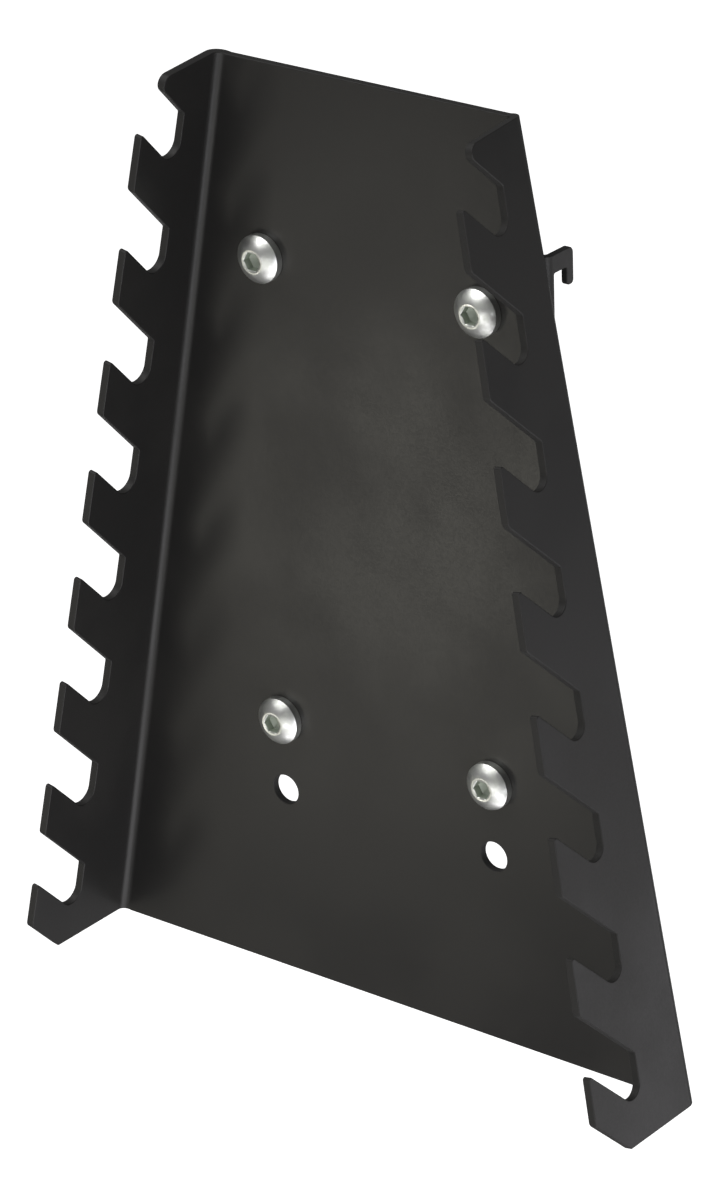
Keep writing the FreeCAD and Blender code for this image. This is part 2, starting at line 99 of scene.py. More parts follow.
@dataclass
class Surface:
    """A surface as arrays, with what is needed to make a mesh of it.

    Attributes:
        points: Vertex places, one row each.
        faces: Vertex numbers of each face, three or four to a face.
        normals: Exact vertex normals, or None where the mesh works them out.
        mark: How far each vertex lies round a cut edge or inside a socket, from 0 to 1.
    """

    points: np.ndarray
    faces: list[np.ndarray]
    normals: np.ndarray | None = None
    mark: np.ndarray | None = None

    def mirrored(self) -> "Surface":
        """Joins the surface to its mirror image at X = 0, sharing the vertices that lie there.

        Returns:
            One surface of both halves, with the second half's faces turned to point outwards.
        """
        count = len(self.points)
        shared = np.abs(self.points[:, 0]) < ON_MIDDLE
        flip = np.array([-1.0, 1.0, 1.0])
        number = np.where(shared, np.arange(count), count + np.cumsum(~shared) - 1)
        return Surface(
            points=np.vstack([self.points, self.points[~shared] * flip]),
            faces=self.faces + [number[block][:, ::-1] for block in self.faces],
            normals=np.vstack([self.normals, self.normals[~shared] * flip]),
            mark=np.concatenate([self.mark, self.mark[~shared]]),
        )

    def to_object(self, name: str, sharp_above: float = 180.0) -> bpy.types.Object:
        """Makes a mesh object of the surface, at the origin and smoothly shaded.

        Args:
            name: Name of the object and its mesh.
            sharp_above: Angle in degrees above which an edge is sharp, on a surface that brings no
                normals of its own.

        Returns:
            The new object, linked to the scene.
        """
        mesh = bpy.data.meshes.new(name)
        faces = [face for block in self.faces for face in block.tolist()]
        mesh.from_pydata(self.points.tolist(), [], faces)
        mesh.polygons.foreach_set("use_smooth", np.ones(len(mesh.polygons), dtype=bool))
        if self.mark is not None:
            layer = mesh.attributes.new("mark", "FLOAT", "POINT")
            layer.data.foreach_set("value", self.mark.astype(np.float32))
        if self.normals is not None:
            mesh.normals_split_custom_set_from_vertices(self.normals.tolist())
        else:
            mesh.set_sharp_from_angle(angle=math.radians(sharp_above))
        mesh.update()
        made = bpy.data.objects.new(name, mesh)
        bpy.context.scene.collection.objects.link(made)
        return made


def left_of(headings: np.ndarray) -> np.ndarray:
    """Turns headings in the plane a quarter turn to the left."""
    return np.stack([-headings[..., 1], headings[..., 0]], axis=-1)


def soften(corners: np.ndarray, radii: np.ndarray, samples: int) -> Rim:
    """Rounds the inner corners of an open chain that has the sheet on its left.

    At each corner the chain turns by an angle, and an arc of the corner's radius replaces the
    stretch of radius times the tangent of half that angle on both sides. The arc's heading turns
    evenly, and each point lies one radius from the arc's centre, square to the heading.

    Args:
        corners: Corner points, one row each, the chain's two ends included.
        radii: Radius for each corner between the two ends.
        samples: Points along each arc.

    Returns:
        The points, and the unit normals that point away from the sheet.
    """
    runs = np.diff(corners, axis=0)
    runs /= np.linalg.norm(runs, axis=1, keepdims=True)
    into, out_of = runs[:-1], runs[1:]
    turn = np.arctan2(into[:, 0] * out_of[:, 1] - into[:, 1] * out_of[:, 0], (into * out_of).sum(1))
    reach = radii * np.tan(np.abs(turn) / 2)
    hand = np.sign(turn)
    start = corners[1:-1] - into * reach[:, None]
    centre = start + left_of(into) * (radii * hand)[:, None]
    angle = np.arctan2(into[:, 1], into[:, 0])[:, None] + turn[:, None] * np.linspace(0, 1, samples)
    heading = np.stack([np.cos(angle), np.sin(angle)], axis=-1)
    arcs = centre[:, None] - left_of(heading) * (radii * hand)[:, None, None]
    points = np.vstack([corners[:1], arcs.reshape(-1, 2), corners[-1:]])
    headings = np.vstack([runs[:1], heading.reshape(-1, 2), runs[-1:]])
    return points, -left_of(headings)


def obround(centre: np.ndarray, radius: float, length: float, samples: int) -> Rim:
    """Samples the rim of an upright hole with round ends, the sheet on the left of its path.

    A point at angle a lies at radius times (cos a, sin a) from the centre of the nearer end, and
    the normal points into the hole.

    Args:
        centre: Middle of the hole.
        radius: Half of the hole's width.
        length: Distance between the centres of its two ends, 0 for a round hole.
        samples: Points round the rim.

    Returns:
        The points, and the unit normals that point away from the sheet.
    """
    angle = -(np.arange(samples) + 0.5) * 2 * math.pi / samples
    spoke = np.stack([np.cos(angle), np.sin(angle)], axis=-1)
    ends = np.stack([np.zeros(samples), np.sign(spoke[:, 1]) * length / 2], axis=-1)
    return centre + ends + spoke * radius, -spoke


@dataclass(frozen=True)
class Fold:
    """One square fold of a sheet, and the flat blank's coordinates that go with it.

    Across is the distance out from the fold's inner corner, measured on the blank, and along the
    distance up the fold. Depth is the distance of a point on the flange from the inner corner.

    Attributes:
        corner: Where the two inner faces meet, at the foot of the fold.
        along: Direction up the fold.
        outward: Direction across the web, towards the flange.
        toward: Direction to which the flange is folded.
        radius: Inner radius of the fold.
        thickness: Thickness of the sheet.
    """

    corner: Triple
    along: Triple
    outward: Triple
    toward: Triple
    radius: float
    thickness: float

    @property
    def bend(self) -> float:
        """Length of the bend on the blank, at the middle of the sheet's thickness."""
        return math.pi / 2 * (self.radius + self.thickness / 2)

    @property
    def handed(self) -> bool:
        """Whether an outline that runs anticlockwise on the blank faces the inner side."""
        return float(np.dot(np.cross(self.outward, self.along), self.toward)) > 0

    def across_of(self, depth: float) -> float:
        """Gives the distance across the blank of a depth on the flange."""
        return depth + self.bend - 2 * self.radius

    def directions(self, across: np.ndarray) -> tuple[np.ndarray, np.ndarray]:
        """Gives the directions across the sheet and square to it, at points of the blank.

        The sheet turns by 90 degrees evenly over the bend. Across is cos a outward plus sin a
        toward, and the inner side's normal is cos a toward minus sin a outward.

        Args:
            across: Distances across the blank.

        Returns:
            Unit vectors across the sheet, and unit normals of its inner side.
        """
        angle = math.pi / 2 * np.clip((across + self.radius) / self.bend, 0, 1)[..., None]
        outward, toward = np.array(self.outward), np.array(self.toward)
        run = np.cos(angle) * outward + np.sin(angle) * toward
        inner = np.cos(angle) * toward - np.sin(angle) * outward
        return run, inner

    def place(self, across: np.ndarray, along: np.ndarray, under: np.ndarray) -> np.ndarray:
        """Folds points of the blank into space.

        The web is flat up to the bend and the flange is flat after it. Between them a point turns
        about the bend's axis, one inner radius from both inner faces, at the inner radius plus
        its depth under the inner face.

        Args:
            across: Distances across the blank.
            along: Distances up the fold.
            under: Distances under the inner face, from 0 to the thickness.

        Returns:
            Points in space, in one more dimension than the arguments.
        """
        _, inner = self.directions(across)
        web = np.minimum(across + self.radius, 0)
        flange = np.maximum(across + self.radius - self.bend, 0)
        outward, toward = np.array(self.outward), np.array(self.toward)
        axis = np.array(self.corner) + self.radius * (toward - outward)
        flat = web[..., None] * outward + flange[..., None] * toward
        turned = (self.radius + under)[..., None] * inner
        return axis + flat - turned + along[..., None] * np.array(self.along)


@dataclass(frozen=True)
class CutEdge:
    """The edge of a cut sheet, softly rounded on both faces by its coat.

    Attributes:
        radius: Radius of the rounding on each face.
        samples: Points on each quarter round.
    """

    radius: float = 0.3 * MM
    samples: int = 5

    def profile(self, thickness: float) -> tuple[np.ndarray, np.ndarray, np.ndarray, np.ndarray]:
        """Works out the edge's profile, from the inner face round to the outer one.

        A quarter round leads from the inner face to the edge: in by radius times (1 - sin a), and
        under by radius times (1 - cos a). The outer quarter mirrors it.

        Args:
            thickness: Thickness of the sheet.

        Returns:
            Distances in from the outline, distances under the inner face, and the parts of the
            normal that point away from the sheet and up from the inner face.
        """
        angle = np.linspace(0, math.pi / 2, self.samples)
        inset = self.radius * (1 - np.sin(angle))
        under = self.radius * (1 - np.cos(angle))
        return (
            np.concatenate([inset, inset[::-1]]),
            np.concatenate([under, thickness - under[::-1]]),
            np.concatenate([np.sin(angle), np.sin(angle)[::-1]]),
            np.concatenate([np.cos(angle), -np.cos(angle)[::-1]]),
        )


@dataclass
class FoldedSheet:
    """Half of a folded sheet: a flat web, a bend and a flange, cut to an outline with holes.

    Attributes:
        fold: The fold between web and flange.
        ends: Foot and top of the middle line, on the blank.
        laid: The blank's corners between them, round the flange, each with its radius. The first
            and the last lie on the web, just inside the bend, and the lines from them run square
            to the fold.
        holes: Rims of the holes in the web, each with its normals.
        cut: Rounding of the cut edges.
        arc_samples: Points on each rounded corner.
        bend_steps: Flat strips across the bend.
    """

    fold: Fold
    ends: tuple[Pair, Pair]
    laid: list[tuple[Pair, float]]
    holes: list[Rim]
    cut: CutEdge = CutEdge()
    arc_samples: int = 13
    bend_steps: int = 14

    def outline(self) -> Rim:
        """Samples the whole outline, with extra points where it crosses the bend.

        Returns:
            The points on the blank, and the unit normals that point away from the sheet.
        """
        corners = np.array([self.ends[0], *(corner for corner, _ in self.laid), self.ends[1]])
        radii = np.array([radius for _, radius in self.laid])
        points, normals = soften(corners, radii, self.arc_samples)
        web = 1 + self.arc_samples
        across = np.linspace(0, self.fold.bend, self.bend_steps + 1) - self.fold.radius
        low = np.stack([across, np.full_like(across, points[web - 1, 1])], axis=-1)
        high = np.stack([across[::-1], np.full_like(across, points[-web, 1])], axis=-1)
        down = np.tile([0.0, -1.0], (len(across), 1))
        return (
            np.vstack([points[:web], low, points[web:-web], high, points[-web:]]),
            np.vstack([normals[:web], down, normals[web:-web], -down, normals[-web:]]),
        )

    def rim(self, points: np.ndarray, normals: np.ndarray) -> tuple[np.ndarray, np.ndarray, np.ndarray]:
        """Carries the cut edge's profile along an outline.

        Args:
            points: The outline on the blank.
            normals: Its unit normals.

        Returns:
            Places in space and normals in space, as grids of outline by profile, and the inset
            outline on the blank that the flat faces are filled from.
        """
        inset, under, away, up = self.cut.profile(self.fold.thickness)
        blank = points[:, None] - inset[:, None] * normals[:, None]
        across, along = blank[..., 0], blank[..., 1]
        run, inner = self.fold.directions(across)
        side = normals[:, None, :1] * run + normals[:, None, 1:] * np.array(self.fold.along)
        places = self.fold.place(across, along, np.broadcast_to(under, across.shape))
        return places, away[:, None] * side + up[:, None] * inner, blank[:, 0]

    def surface(self) -> Surface:
        """Builds the half sheet: its cut edges, the two flat faces on each side and the bend.

        Returns:
            A surface that is open only at the middle line.
        """
        rings, blanks, start = [], [], 0
        for points, normals in [self.outline(), *self.holes]:
            places, space_normals, blank = self.rim(points, normals)
            numbers = start + np.arange(places[..., 0].size).reshape(places.shape[:2])
            rings.append((places, space_normals, numbers))
            blanks.append(blank)
            start += numbers.size
        faces = []
        for index, (_, _, numbers) in enumerate(rings):
            loop = numbers if index == 0 else np.vstack([numbers, numbers[:1]])
            quads = np.stack([loop[:-1, :-1], loop[:-1, 1:], loop[1:, 1:], loop[1:, :-1]], axis=-1)
            faces.append(quads.reshape(-1, 4))
        border = rings[0][2]
        web, steps = 1 + self.arc_samples, self.bend_steps + 1
        on_web = np.r_[0 : web + 1, len(border) - web - 1 : len(border)]
        on_flange = np.arange(web + steps - 1, len(border) - web - steps + 1)
        low = np.arange(web, web + steps)
        high = len(border) - web - 1 - np.arange(steps)
        strips = np.stack([low[:-1], low[1:], high[1:], high[:-1]], axis=-1)
        web_loops = [(blanks[0][on_web], border[on_web])]
        web_loops += [(blank, numbers) for blank, (_, _, numbers) in zip(blanks[1:], rings[1:])]
        for ring, order in ((0, slice(None)), (-1, slice(None, None, -1))):
            faces.append(fill([(blank, numbers[:, ring]) for blank, numbers in web_loops])[:, order])
            faces.append(fill([(blanks[0][on_flange], border[on_flange][:, ring])])[:, order])
            faces.append(border[:, ring][strips][:, order])
        if not self.fold.handed:
            faces = [block[:, ::-1] for block in faces]
        mark = np.tile(self.cut.profile(self.fold.thickness)[2], start // border.shape[1])
        return Surface(
            points=np.vstack([places.reshape(-1, 3) for places, _, _ in rings]),
            faces=faces,
            normals=np.vstack([space_normals.reshape(-1, 3) for _, space_normals, _ in rings]),
            mark=mark,
        )


def fill(loops: list[tuple[np.ndarray, np.ndarray]]) -> np.ndarray:
    """Fills a flat outline, with holes, by triangles that all run anticlockwise.

    Args:
        loops: The outline and then its holes, each as its points and their vertex numbers.

    Returns:
        Vertex numbers, one row for each triangle.
    """
    points = np.vstack([loop for loop, _ in loops])
    numbers = np.concatenate([number for _, number in loops])
    corners = [[Vector((x, y, 0.0)) for x, y in loop] for loop, _ in loops]
    triangles = np.array(tessellate_polygon(corners))
    first, second, third = (points[triangles[:, index]] for index in range(3))
    (ax, ay), (bx, by) = (second - first).T, (third - first).T
    clockwise = ax * by - ay * bx < 0
    triangles[clockwise] = triangles[clockwise][:, ::-1]
    return numbers[triangles]


def ring_surface(radii: np.ndarray, heights: np.ndarray, seat: Triple,
                 toward: float, poles: bool) -> Surface:
    """Builds a fastener from rings about its axis, which runs along Y.

    The point of a ring at angle a lies at its radius times (cos a, sin a) in X and Z, and at its
    height along the axis.

    Args:
        radii: Radius by ring and angle.
        heights: Height by ring and angle.
        seat: Where height 0 lies on the axis.
        toward: Sign of the Y direction in which height grows.
        poles: Whether the first and last rings are closed at the axis. Otherwise the last ring
            joins the first one.

    Returns:
        The closed surface.
    """
    rings, steps = radii.shape
    angle = np.arange(steps) * 2 * math.pi / steps
    places = np.stack([radii * np.cos(angle), toward * heights, radii * np.sin(angle)], axis=-1)
    points = places.reshape(-1, 3)
    numbers = np.arange(rings * steps).reshape(rings, steps)
    numbers = np.hstack([numbers, numbers[:, :1]])
    if not poles:
        numbers = np.vstack([numbers, numbers[:1]])
    quads = np.stack([numbers[:-1, :-1], numbers[:-1, 1:], numbers[1:, 1:], numbers[1:, :-1]], axis=-1)
    faces = [quads.reshape(-1, 4)]
    if poles:
        first, last = len(points), len(points) + 1
        ends = np.array([[0, toward * heights[0, 0], 0], [0, toward * heights[-1, 0], 0]])
        points = np.vstack([points, ends])
        low, high = numbers[0], numbers[-1]
        faces.append(np.stack([np.full(steps, first), low[1:], low[:-1]], axis=-1))
        faces.append(np.stack([np.full(steps, last), high[:-1], high[1:]], axis=-1))
    if toward < 0:
        faces = [block[:, ::-1] for block in faces]
    return Surface(points=points + np.array(seat), faces=faces)


def hexagon(width: float, steps: int) -> np.ndarray:
    """Gives the distance from a hexagon's centre to its side, at evenly spaced angles.

    It is half the width across flats over the cosine of the angle from the nearest flat's middle.

    Args:
        width: Width across flats.
        steps: Number of angles, a multiple of six, the first at a corner.

    Returns:
        The distances.
    """
    sixth = math.pi / 3
    angle = np.arange(steps) * 2 * math.pi / steps
    return width / 2 / np.cos(angle % sixth - sixth / 2)


# Finishes.


@dataclass(frozen=True)
class Pattern:
    """Soft noise in a finish.

    Attributes:
        size: Size of a blotch.
        detail: How much finer noise is laid over it.
        depth: Depth of the relief that it makes, 0 where it makes none.
        stretch: How it is squeezed along each axis.
    """

    size: float
    detail: float
    depth: float = 0.0
    stretch: Triple = (1.0, 1.0, 1.0)


class Graph:
    """A material's nodes, made and joined a step at a time."""

    def __init__(self, name: str) -> None:
        """Starts a material with an empty tree and a surface shader.

        Args:
            name: Name of the material.
        """
        self.material = bpy.data.materials.new(name)
        self.material.use_nodes = True
        self.tree = self.material.node_tree
        self.shader = self.tree.nodes["Principled BSDF"]
        self.place = self.add("ShaderNodeTexCoord").outputs["Object"]

    def add(self, kind: str, **settings: object) -> bpy.types.Node:
        """Adds a node.

        Args:
            kind: Type of the node.
            settings: Its plain properties.

        Returns:
            The node.
        """
        node = self.tree.nodes.new(kind)
        for key, setting in settings.items():
            setattr(node, key, setting)
        return node

    def feed(self, socket: Socket, value: object) -> None:
        """Gives a socket a value, or joins another socket to it.

        Args:
            socket: The input.
            value: Its value, or the output to join to it.
        """
        if isinstance(value, Socket):
            self.tree.links.new(value, socket)
        else:
            socket.default_value = value

    def set_shader(self, inputs: dict[str, object]) -> None:
        """Gives the surface shader's sockets their values, by name."""
        for name, value in inputs.items():
            self.feed(self.shader.inputs[name], value)

    def wire(self, kind: str, given: dict[str | int, object], result: str | int,
             **settings: object) -> Socket:
        """Adds a node and feeds its inputs.

        Args:
            kind: Type of the node.
            given: Value or socket for each input, by its name or number.
            result: Name or number of the output that is wanted.
            settings: Plain properties of the node.

        Returns:
            The output.
        """
        node = self.add(kind, **settings)
        for key, value in given.items():
            self.feed(node.inputs[key], value)
        return node.outputs[result]

    def mark(self) -> Socket:
        """Reads the mark that a piece's vertices carry, 0 where it has none."""
        return self.wire("ShaderNodeAttribute", {}, "Fac", attribute_name="mark")

    def noise(self, pattern: Pattern) -> Socket:
        """Adds a pattern's noise.

        Args:
            pattern: Its size, detail and stretch.

        Returns:
            The noise, from 0 to 1.
        """
        place = self.wire("ShaderNodeMapping", {"Vector": self.place, "Scale": pattern.stretch}, "Vector")
        given = {"Vector": place, "Scale": 1 / pattern.size, "Detail": pattern.detail}
        return self.wire("ShaderNodeTexNoise", given, "Fac")

    def spread(self, value: Socket, low: float, high: float,
               dark: float = 0.35, light: float = 0.65) -> Socket:
        """Maps a value smoothly to a range.

        Args:
            value: The value, such as noise.
            low: Result at and below the dark level.
            high: Result at and above the light level.
            dark: Lower level of the value.
            light: Upper level of the value.

        Returns:
            The mapped value.
        """
        given = {"Value": value, "From Min": dark, "From Max": light, "To Min": low, "To Max": high}
        return self.wire("ShaderNodeMapRange", given, "Result", interpolation_type="SMOOTHSTEP")

    def sum(self, *values: Socket | float) -> Socket:
        """Adds values up.

        Args:
            values: The values, the first of them a socket.

        Returns:
            Their sum.
        """
        total = values[0]
        for value in values[1:]:
            total = self.wire("ShaderNodeMath", {0: total, 1: value}, "Value", operation="ADD")
        return total

    def times(self, first: Socket, second: Socket | float) -> Socket:
        """Multiplies two values."""
        return self.wire("ShaderNodeMath", {0: first, 1: second}, "Value", operation="MULTIPLY")

    def blend(self, share: Socket, first: object, second: object) -> Socket:
        """Mixes two colours by a share of the second."""
        given = {MIX_SHARE: share, MIX_FIRST: first, MIX_SECOND: second}
        return self.wire("ShaderNodeMix", given, MIX_RESULT, data_type="RGBA")

    def relief(self, height: Socket, depth: float, under: Socket | None = None) -> Socket:
        """Adds a bump of a real depth, over another one if there is one.

        Args:
            height: Height of the relief, from 0 to 1.
            depth: Depth of the relief in metres.
            under: Normal of a coarser relief below it.

        Returns:
            The bumped normal.
        """
        given = {"Strength": 1.0, "Distance": depth, "Height": height}
        if under is not None:
            given["Normal"] = under
        return self.wire("ShaderNodeBump", given, "Normal")


@dataclass(frozen=True)
class PowderCoat:
    """Black satin powder coat on steel sheet, with its orange peel and a thinner film on edges.

    Attributes:
        name: Name of the material.
        film: Colour of the full film.
        cloud: Colour of the slightly dustier patches.
        thin_film: Colour where the film is thin on a cut edge.
        gloss: Lowest and highest roughness over the faces.
        speck_gloss: Lowest and highest roughness that the specks add.
        edge_dulling: How much rougher the film is on a cut edge.
        wear: Marks at which the film begins to thin and is thinnest.
        least_wear: Least share of the wear between the specks.
        specular: Level of the film's reflection.
        clouds: Large, faint patches in colour and gloss.
        specks: Fine specks in gloss and wear.
        reliefs: The sheet's long waves, the film's orange peel and its fine grain, coarsest first.
    """

    name: str
    film: Colour = (0.0150, 0.0145, 0.0142, 1.0)
    cloud: Colour = (0.0190, 0.0182, 0.0172, 1.0)
    thin_film: Colour = (0.017, 0.0165, 0.016, 1.0)
    gloss: Pair = (0.36, 0.46)
    speck_gloss: Pair = (-0.03, 0.03)
    edge_dulling: float = 0.24
    wear: Pair = (0.2, 1.0)
    least_wear: float = 0.35
    specular: float = 0.42
    clouds: Pattern = Pattern(45 * MM, 4.0)
    specks: Pattern = Pattern(0.6 * MM, 3.0)
    reliefs: tuple[Pattern, ...] = (
        Pattern(70 * MM, 1.0, 0.05 * MM),
        Pattern(1.3 * MM, 1.5, 0.012 * MM),
        Pattern(0.25 * MM, 1.0, 0.0015 * MM),
    )

    def build(self) -> bpy.types.Material:
        """Builds the material's nodes.

        Returns:
            The material.
        """
        graph = Graph(self.name)
        edge = graph.mark()
        clouds, specks = graph.noise(self.clouds), graph.noise(self.specks)
        film = graph.blend(graph.spread(clouds, 0.0, 1.0), self.film, self.cloud)
        thinning = graph.spread(edge, 0.0, 1.0, *self.wear)
        worn = graph.times(thinning, graph.spread(specks, self.least_wear, 1.0))
        rough = graph.sum(graph.spread(clouds, *self.gloss), graph.spread(specks, *self.speck_gloss),
                          graph.times(edge, self.edge_dulling))
        normal = None
        for pattern in self.reliefs:
            normal = graph.relief(graph.noise(pattern), pattern.depth, normal)
        graph.set_shader({
            "Base Color": graph.blend(worn, film, self.thin_film),
            "Roughness": rough,
            "Specular IOR Level": self.specular,
            "Normal": normal,
        })
        return graph.material


@dataclass(frozen=True)
class ZincPlate:
    """Bright zinc plate on steel, a little cloudy from its passivation.

    Attributes:
        name: Name of the material.
        bright: Colour of the bright plate.
        dull: Colour of the duller clouds.
        painted_socket_shade: Darker colour painted inside a socket: painted shade in the recess, not a
            colour of the plate itself.
        shade_dulling: How much rougher the plate is there.
        gloss: Lowest and highest roughness.
        scratch_gloss: Lowest and highest roughness that the handling marks add.
        clouds: Patches in colour and gloss.
        scratches: Fine handling marks.
    """

    name: str
    bright: Colour = (0.87, 0.88, 0.86, 1.0)
    dull: Colour = (0.72, 0.74, 0.70, 1.0)
    # Painted shade: the socket's walls and floor are coloured darker than the plate.
    painted_socket_shade: Colour = (0.52, 0.56, 0.50, 1.0)
    shade_dulling: float = 0.20
    gloss: Pair = (0.33, 0.45)
    scratch_gloss: Pair = (-0.03, 0.05)
    clouds: Pattern = Pattern(2.5 * MM, 4.0)
    scratches: Pattern = Pattern(0.35 * MM, 3.0, 0.0015 * MM, (1.0, 1.0, 4.0))

    def build(self) -> bpy.types.Material:
        """Builds the material's nodes.

        Returns:
            The material.
        """
        graph = Graph(self.name)
        clouds, scratches = graph.noise(self.clouds), graph.noise(self.scratches)
        # The mark inside the socket blends the colour towards the darker grey-green: painted shade in the
        # recess.
        inside = graph.mark()
        colour = graph.blend(graph.spread(clouds, 0.0, 1.0), self.bright, self.dull)
        rough = graph.sum(graph.spread(clouds, *self.gloss), graph.spread(scratches, *self.scratch_gloss),
                          graph.times(inside, self.shade_dulling))
        graph.set_shader({
            "Base Color": graph.blend(inside, colour, self.painted_socket_shade),
            "Roughness": rough,
            "Metallic": 1.0,
            "Normal": graph.relief(scratches, self.scratches.depth),
        })
        return graph.material


def finish_piece(piece: bpy.types.Object, material: bpy.types.Material, slot: Slot, *nodes: str) -> None:
    """Dresses a piece, hangs it on the body, and hides and logs the CAD nodes that it stands for.

    Args:
        piece: The finished piece.
        material: Its material.
        slot: The record's material slot that it takes its finish from. Not used.
        nodes: The CAD nodes that it replaces.
    """
    piece.data.materials.append(material)
    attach(piece, BODY)
    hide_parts(*nodes)
    triangles = sum(len(polygon.vertices) - 2 for polygon in piece.data.polygons)
    log.info("%s: %d triangles, stands for %s", piece.name, triangles, ", ".join(nodes))


# The rack's pieces.


@dataclass
class RackSheet:
    """The tapered sheet with its two notched flanges.

    Heights are measured up from the plate's bottom edge, widths between the flanges' inner faces,
    depths forward of the plate, and the notches' lengths down the front of the flange's spine,
    the strip between the plate and the notches.
    """

    finish: bpy.types.Material
    node: str = "rack_sheet"
    thickness: float = 2.5 * MM
    fold_radius: float = 2.5 * MM
    fold_land: float = 2.7 * MM
    height: float = 280 * MM
    top_width: float = 100.2 * MM
    bottom_width: float = 206.2 * MM
    depth_top: float = 29.5 * MM
    depth_bottom: float = 44 * MM
    horn_fall: float = 2.2 * MM
    horn_radius: float = 2.8 * MM
    spine_top: float = 11.7 * MM
    spine_bottom: float = 22.5 * MM
    first_notch: float = 32.8 * MM
    notch_pitch: float = 34.9 * MM
    notch_height: float = 17.4 * MM
    notch_slope: float = math.radians(44.2)
    notch_count: int = 8
    seat_radius: float = 4 * MM
    root_radius: float = 1 * MM
    tooth_radius: float = 0.8 * MM
    lip_radius: float = 2 * MM
    corner_radius: float = 0.5 * MM
    foot_depth: float = 30 * MM
    hole_radius: float = BORE_RADIUS
    hole_spacing: float = SCREW_SPACING
    hole_heights: tuple[float, ...] = (223 * MM, 81.4 * MM, 58.5 * MM)
    hole_samples: int = 72
    plate_y: float = PLATE_Y
    bottom_z: float = -236 * MM

    @property
    def lean(self) -> float:
        """Angle of the folds from the vertical."""
        return math.atan((self.bottom_width - self.top_width) / 2 / self.height)

    @property
    def fold_length(self) -> float:
        """Length of a fold."""
        return self.height / math.cos(self.lean)

    @property
    def taper(self) -> float:
        """Angle between the front of a flange's spine and its fold."""
        return math.atan((self.spine_bottom - self.spine_top) / self.fold_length)

    @property
    def fold(self) -> Fold:
        """The right-hand fold.

        Returns:
            The fold between the plate and its flange.
        """
        sine, cosine = math.sin(self.lean), math.cos(self.lean)
        return Fold(
            corner=(self.bottom_width / 2, self.plate_y, self.bottom_z),
            along=(-sine, 0.0, cosine),
            outward=(cosine, 0.0, sine),
            toward=(0.0, -1.0, 0.0),
            radius=self.fold_radius,
            thickness=self.thickness,
        )

    def on_plate(self, x: float, z: float) -> Pair:
        """Gives the blank's coordinates of a point on the plate.

        Args:
            x: Its distance from the middle.
            z: Its height above the bottom edge.

        Returns:
            Its distances across and up the fold.
        """
        sine, cosine = math.sin(self.lean), math.cos(self.lean)
        out = x - self.bottom_width / 2
        return out * cosine + z * sine, z * cosine - out * sine

    def on_flange(self, depth: float, along: float) -> Pair:
        """Gives the blank's coordinates of a point on the flange, by its depth and height up the fold."""
        return self.fold.across_of(depth), along

    def on_spine(self, down: float) -> Pair:
        """Gives the depth and the height up the fold of a point down the front of the spine."""
        return self.spine_top + down * math.sin(self.taper), self.ends[1] - down * math.cos(self.taper)

    def to_free_edge(self, depth: float, along: float) -> Pair:
        """Follows the slope of the notches from a point to the flange's free edge.

        The free edge runs straight from the horn's falling top down to the flange's bottom end.

        Args:
            depth: The point's depth.
            along: The point's height up the fold.

        Returns:
            The place on the blank where the free edge is met.
        """
        bottom, top = self.ends
        start = top - self.horn_fall
        growth = (self.depth_bottom - self.depth_top) / (start - bottom)
        slope = math.tan(self.notch_slope)
        out = (self.depth_top + (start - along) * growth - depth) / (1 + slope * growth)
        return self.on_flange(depth + out, along + out * slope)

    @property
    def ends(self) -> Pair:
        """Distances up the fold of the flange's two square ends."""
        start = self.fold_land * math.sin(self.lean)
        return start, start + self.fold_length

    def notch(self, index: int) -> list[tuple[Pair, float]]:
        """Lays out one notch, from its lower lip to its upper lip, with the corners' radii.

        Its bottom lies on the front of the spine, and both sides rise from there at the slope.

        Args:
            index: Number of the notch, 0 at the top.

        Returns:
            The notch's corners on the blank, each with its radius.
        """
        low = self.on_spine(self.first_notch + index * self.notch_pitch)
        high = self.on_spine(self.first_notch + index * self.notch_pitch - self.notch_height)
        return [
            (self.to_free_edge(*low), self.tooth_radius),
            (self.on_flange(*low), self.seat_radius),
            (self.on_flange(*high), self.root_radius),
            (self.to_free_edge(*high), self.lip_radius),
        ]

    def horn_tip(self) -> Pair:
        """Finds where the top notch's upper side meets the horn's falling top edge.

        Returns:
            The place on the blank.
        """
        depth, along = self.on_spine(self.first_notch - self.notch_height)
        fall = self.horn_fall / (self.depth_top - self.fold_land)
        slope = math.tan(self.notch_slope)
        out = (self.ends[1] - along - (depth - self.fold_land) * fall) / (slope + fall)
        return self.on_flange(depth + out, along + out * slope)

    def build(self) -> None:
        """Builds and dresses the sheet."""
        bottom, top = self.ends
        inside = self.fold_land
        notches = [corner for index in reversed(range(self.notch_count)) for corner in self.notch(index)]
        laid = [
            (self.on_plate(self.bottom_width / 2 - inside, 0), self.corner_radius),
            (self.on_flange(self.foot_depth, bottom), self.corner_radius),
            (self.to_free_edge(self.foot_depth, bottom), self.lip_radius),
            *notches[:-1],
            (self.horn_tip(), self.horn_radius),
            (self.on_flange(inside, top), self.corner_radius),
            (self.on_plate(self.top_width / 2 - inside, self.height), self.corner_radius),
        ]
        holes = []
        for height in self.hole_heights:
            centre = np.array(self.on_plate(self.hole_spacing / 2, height))
            holes.append(obround(centre, self.hole_radius, 0.0, self.hole_samples))
        middle = (self.on_plate(0, 0), self.on_plate(0, self.height))
        half = FoldedSheet(self.fold, middle, laid, holes)
        piece = half.surface().mirrored().to_object("coated_rack_sheet")
        finish_piece(piece, self.finish, Slot.RACK_COAT, self.node)


